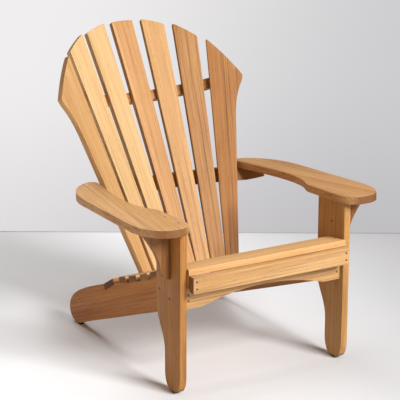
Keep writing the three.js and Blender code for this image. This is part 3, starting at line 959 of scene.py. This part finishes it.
# the back slats are held from behind, one screw through each bar into each slat
def rearScrews():
    places = []
    for bar in ("back_top_cleat", "arm_support_bar", "back_bottom_bar"):
        surface = surfaceOf(bar)
        low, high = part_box(bar)
        for number in range(1, 8):
            (along, _, through), origin, _, _ = slatOutline(f"back_slat_{number}")
            if through.y > 0:
                through = -through
            level = ((low.z + high.z) / 2 - origin.z) / along.z
            start = origin + along * level - through * fittings["searchFrom"]
            spot, normal, _, _ = surface.ray_cast(start, through)
            if spot is not None and spot.y > low.y and normal.dot(through) < -0.5:
                places.append((spot - through * fittings["headProud"], -through))
    return places


# arm screws lie under teak plugs, and so do the seat slats' screws, in a row over each rail
def plugPlaces():
    places = []
    for node in screwNodes:
        if node.startswith("arm_"):
            spot, outward = screwPlaces[node]
            places.append((spot + outward * fittings["plugAbove"], outward))
    for number in range(1, 7):
        node = f"seat_slat_{number}"
        surface = surfaceOf(node)
        low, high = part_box(node)
        for rail, inwards in (("side_rail_left", 1), ("side_rail_right", -1)):
            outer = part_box(rail)[0].x if inwards > 0 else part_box(rail)[1].x
            x = outer + inwards * fittings["seatPlugInset"]
            start = Vector((x, (low.y + high.y) / 2, high.z + fittings["searchFrom"]))
            spot, normal, _, _ = surface.ray_cast(start, -upward)
            if spot is not None:
                places.append((spot, normal))
    return places


plugLook = {"pith": (0.02, 0.03), "tint": (1.1, 1.1, 1.1), "seed": 40}
rearPlaces = rearScrews()
setFittings("slat_screws", screwShape(fittings), rearPlaces, steel)
plugTeak = makeTeak("plug teak", "teak_brown", plugLook, plugLook["seed"])
plugs = plugPlaces()
setFittings("teak_plugs", plugShape(fittings), plugs, plugTeak)
print("slat screws:", len(rearPlaces), "plugs:", len(plugs))

glideNodes = [node for node in nodes if node.startswith("foot_glide_")]
glideLow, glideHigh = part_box(glideNodes[0])
glide = glideShape(fittings, (glideHigh.x - glideLow.x) / 2, glideHigh.z - glideLow.z)
glidePlaces = [(Vector((*boxMiddle(node).xy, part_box(node)[0].z)), upward) for node in glideNodes]
setFittings("glides", glide, glidePlaces, rubberMaterial(rubber), glideNodes)
print("glides fitted:", len(glideNodes))

studio = {
    "floorNear": 6.0,       # how far the pale floor reaches towards the camera
    "floorFar": 1.065,      # and behind the chair, where it meets the backdrop's tone
    "floorWide": 7.0,
    "floorTone": "#ebecee",
    "floorShade": "#b4b3b5",   # painted shade: the floor's colour dims away from the lamps, to the right and back
    "dimAside": 0.94,
    "dimBack": 0.34,
    "patchesPerMetre": 0.9,
    "smoothest": 0.46,
    "roughest": 0.54,
    "specular": 0.22,
    "jointWide": 0.012,     # the dark line where floor and backdrop meet
    "jointLift": 0.0004,
    "jointTone": "#c3c1c1",
    "jointShade": "#9f9d9f",
    "backdropLeft": "#f0eeef",
    "backdropRight": "#cdccce",
    "backdropFoot": "#ecebec",   # painted shade: the backdrop darkens by this tone where it comes down to the floor
    "backdropLean": 0.35,
    "backdropSpan": (-0.02, 0.20),
    "footSpan": (-0.33, -0.22),
    "airTone": "#fff7ef",
    "airStrength": 0.13,
}


# the floor lies square to the camera: forward is towards it along the floor, aside is to its right
forward = Vector((towardsCamera.x, towardsCamera.y, 0)).normalized()
aside = Vector((-forward.y, forward.x, 0))


def flatSheet(name, corners, material):
    mesh = bmesh.new()
    mesh.faces.new([mesh.verts.new(corner) for corner in corners])
    mesh.normal_update()
    if mesh.faces[:][0].normal.z < 0:
        bmesh.ops.reverse_faces(mesh, faces=mesh.faces[:])
    data = bpy.data.meshes.new(name)
    mesh.to_mesh(data)
    mesh.free()
    data.materials.append(material)
    obj = bpy.data.objects.new(name, data)
    collection.objects.link(obj)


def floorMaterial(name, light, dark, s):
    material, tree, shader = startMaterial(name)
    where = addNode(tree, "ShaderNodeTexCoord").outputs["Object"]
    # painted shade: the colour darkens towards the right and back, broken into broad patches, standing in
    # for the lamps' falloff on the floor and the joint strip
    away = addNode(tree, "ShaderNodeVectorMath", operation="DOT_PRODUCT")
    join(tree, where, away.inputs[0])
    away.inputs[1].default_value = aside * s["dimAside"] - forward * s["dimBack"]
    patch = noise(tree, where, (s["patchesPerMetre"],) * 3, 2.0, 0.5)
    reach = plus(tree, away.outputs["Value"], mapRange(tree, patch, 0.3, 0.7, -0.08, 0.08))
    dimmed = mapRange(tree, reach, -0.1, 1.3, 0.0, 1.0, smooth=True)
    join(tree, blendColours(tree, dimmed, linear(light), linear(dark)), shader.inputs["Base Color"])
    join(tree, mapRange(tree, patch, 0.3, 0.7, s["smoothest"], s["roughest"]), shader.inputs["Roughness"])
    shader.inputs["Specular IOR Level"].default_value = s["specular"]
    return material


def floorStrip(near, far, wide, lift):
    corners = ((near, wide), (near, -wide), (far, -wide), (far, wide))
    return [forward * reach + aside * side + Vector((0, 0, lift)) for reach, side in corners]


def makeFloor(s):
    flatSheet("floor", floorStrip(s["floorNear"], -s["floorFar"], s["floorWide"], 0),
              floorMaterial("pale floor", s["floorTone"], s["floorShade"], s))
    edge = s["jointWide"] - s["floorFar"]
    flatSheet("floor_joint", floorStrip(edge, -s["floorFar"], s["floorWide"], s["jointLift"]),
              floorMaterial("floor joint", s["jointTone"], s["jointShade"], s))


makeFloor(studio)

lamps = {
    "key": {"turn": 15, "tilt": 33, "distance": 9.0, "size": (3.4, 3.0), "power": 1120.0,
            "tone": "#ffffff"},
    "left fill": {"turn": -93, "tilt": 9, "distance": 4.5, "size": (1.6, 1.4), "power": 25.0,
                  "tone": "#ffdcb8"},
    "top": {"turn": 180, "tilt": 80, "distance": 4.0, "size": (3.0, 3.0), "power": 44.0,
            "tone": "#ffffff"},
    "rear": {"turn": 178, "tilt": 45, "distance": 4.5, "size": (1.6, 1.2), "power": 64.0,
             "tone": "#ffffff"},
}
lampAim = Vector((0, 0, 0.45))


def makeLamps():
    for name, lamp in lamps.items():
        data = bpy.data.lights.new(name, "AREA")
        data.shape = "RECTANGLE"
        data.size, data.size_y = lamp["size"]
        data.energy = lamp["power"]
        data.color = linear(lamp["tone"])[:3]
        obj = bpy.data.objects.new(name, data)
        collection.objects.link(obj)
        away = wayTo(lamp["turn"], lamp["tilt"])
        facing = away.to_track_quat("Z", "Y").to_matrix().to_4x4()
        obj.matrix_world = Matrix.Translation(lampAim + away * lamp["distance"]) @ facing


makeLamps()


def makeWorld(s):
    world = bpy.data.worlds.new("studio air")
    bpy.context.scene.world = world
    world.use_nodes = True
    tree = world.node_tree
    tree.nodes.clear()
    out = addNode(tree, "ShaderNodeOutputWorld", (600, 0))
    seen = addNode(tree, "ShaderNodeBackground", (200, 100))
    lit = addNode(tree, "ShaderNodeBackground", (200, -100))
    path = addNode(tree, "ShaderNodeLightPath", (0, 300))
    chosen = addNode(tree, "ShaderNodeMixShader", (400, 0))
    # painted light and shade: the backdrop pales from right to left and a little upwards, by the
    # direction looked in
    look = addNode(tree, "ShaderNodeTexCoord").outputs["Generated"]
    sideways = addNode(tree, "ShaderNodeVectorMath", operation="DOT_PRODUCT")
    join(tree, look, sideways.inputs[0])
    sideways.inputs[1].default_value = aside
    upwards = partsOf(tree, look)[2]
    lean = minus(tree, sideways.outputs["Value"], times(tree, upwards, s["backdropLean"]))
    gradient = mapRange(tree, lean, *s["backdropSpan"], 0.0, 1.0, smooth=True)
    upper = blendColours(tree, gradient, linear(s["backdropLeft"]), linear(s["backdropRight"]))
    # painted shade: the backdrop is darker low down, where it comes down to the floor
    lowness = mapRange(tree, upwards, *s["footSpan"], 1.0, 0.0, smooth=True)
    lowered = blendColours(tree, lowness, upper, linear(s["backdropFoot"]), "MULTIPLY")
    join(tree, lowered, seen.inputs["Color"])
    lit.inputs["Color"].default_value = linear(s["airTone"])
    lit.inputs["Strength"].default_value = s["airStrength"]
    join(tree, path.outputs["Is Camera Ray"], chosen.inputs[0])
    join(tree, lit.outputs[0], chosen.inputs[1])
    join(tree, seen.outputs[0], chosen.inputs[2])
    join(tree, chosen.outputs[0], out.inputs[0])


makeWorld(studio)
bpy.context.scene.view_settings.view_transform = "Standard"
print("floor, lamps and air in place")
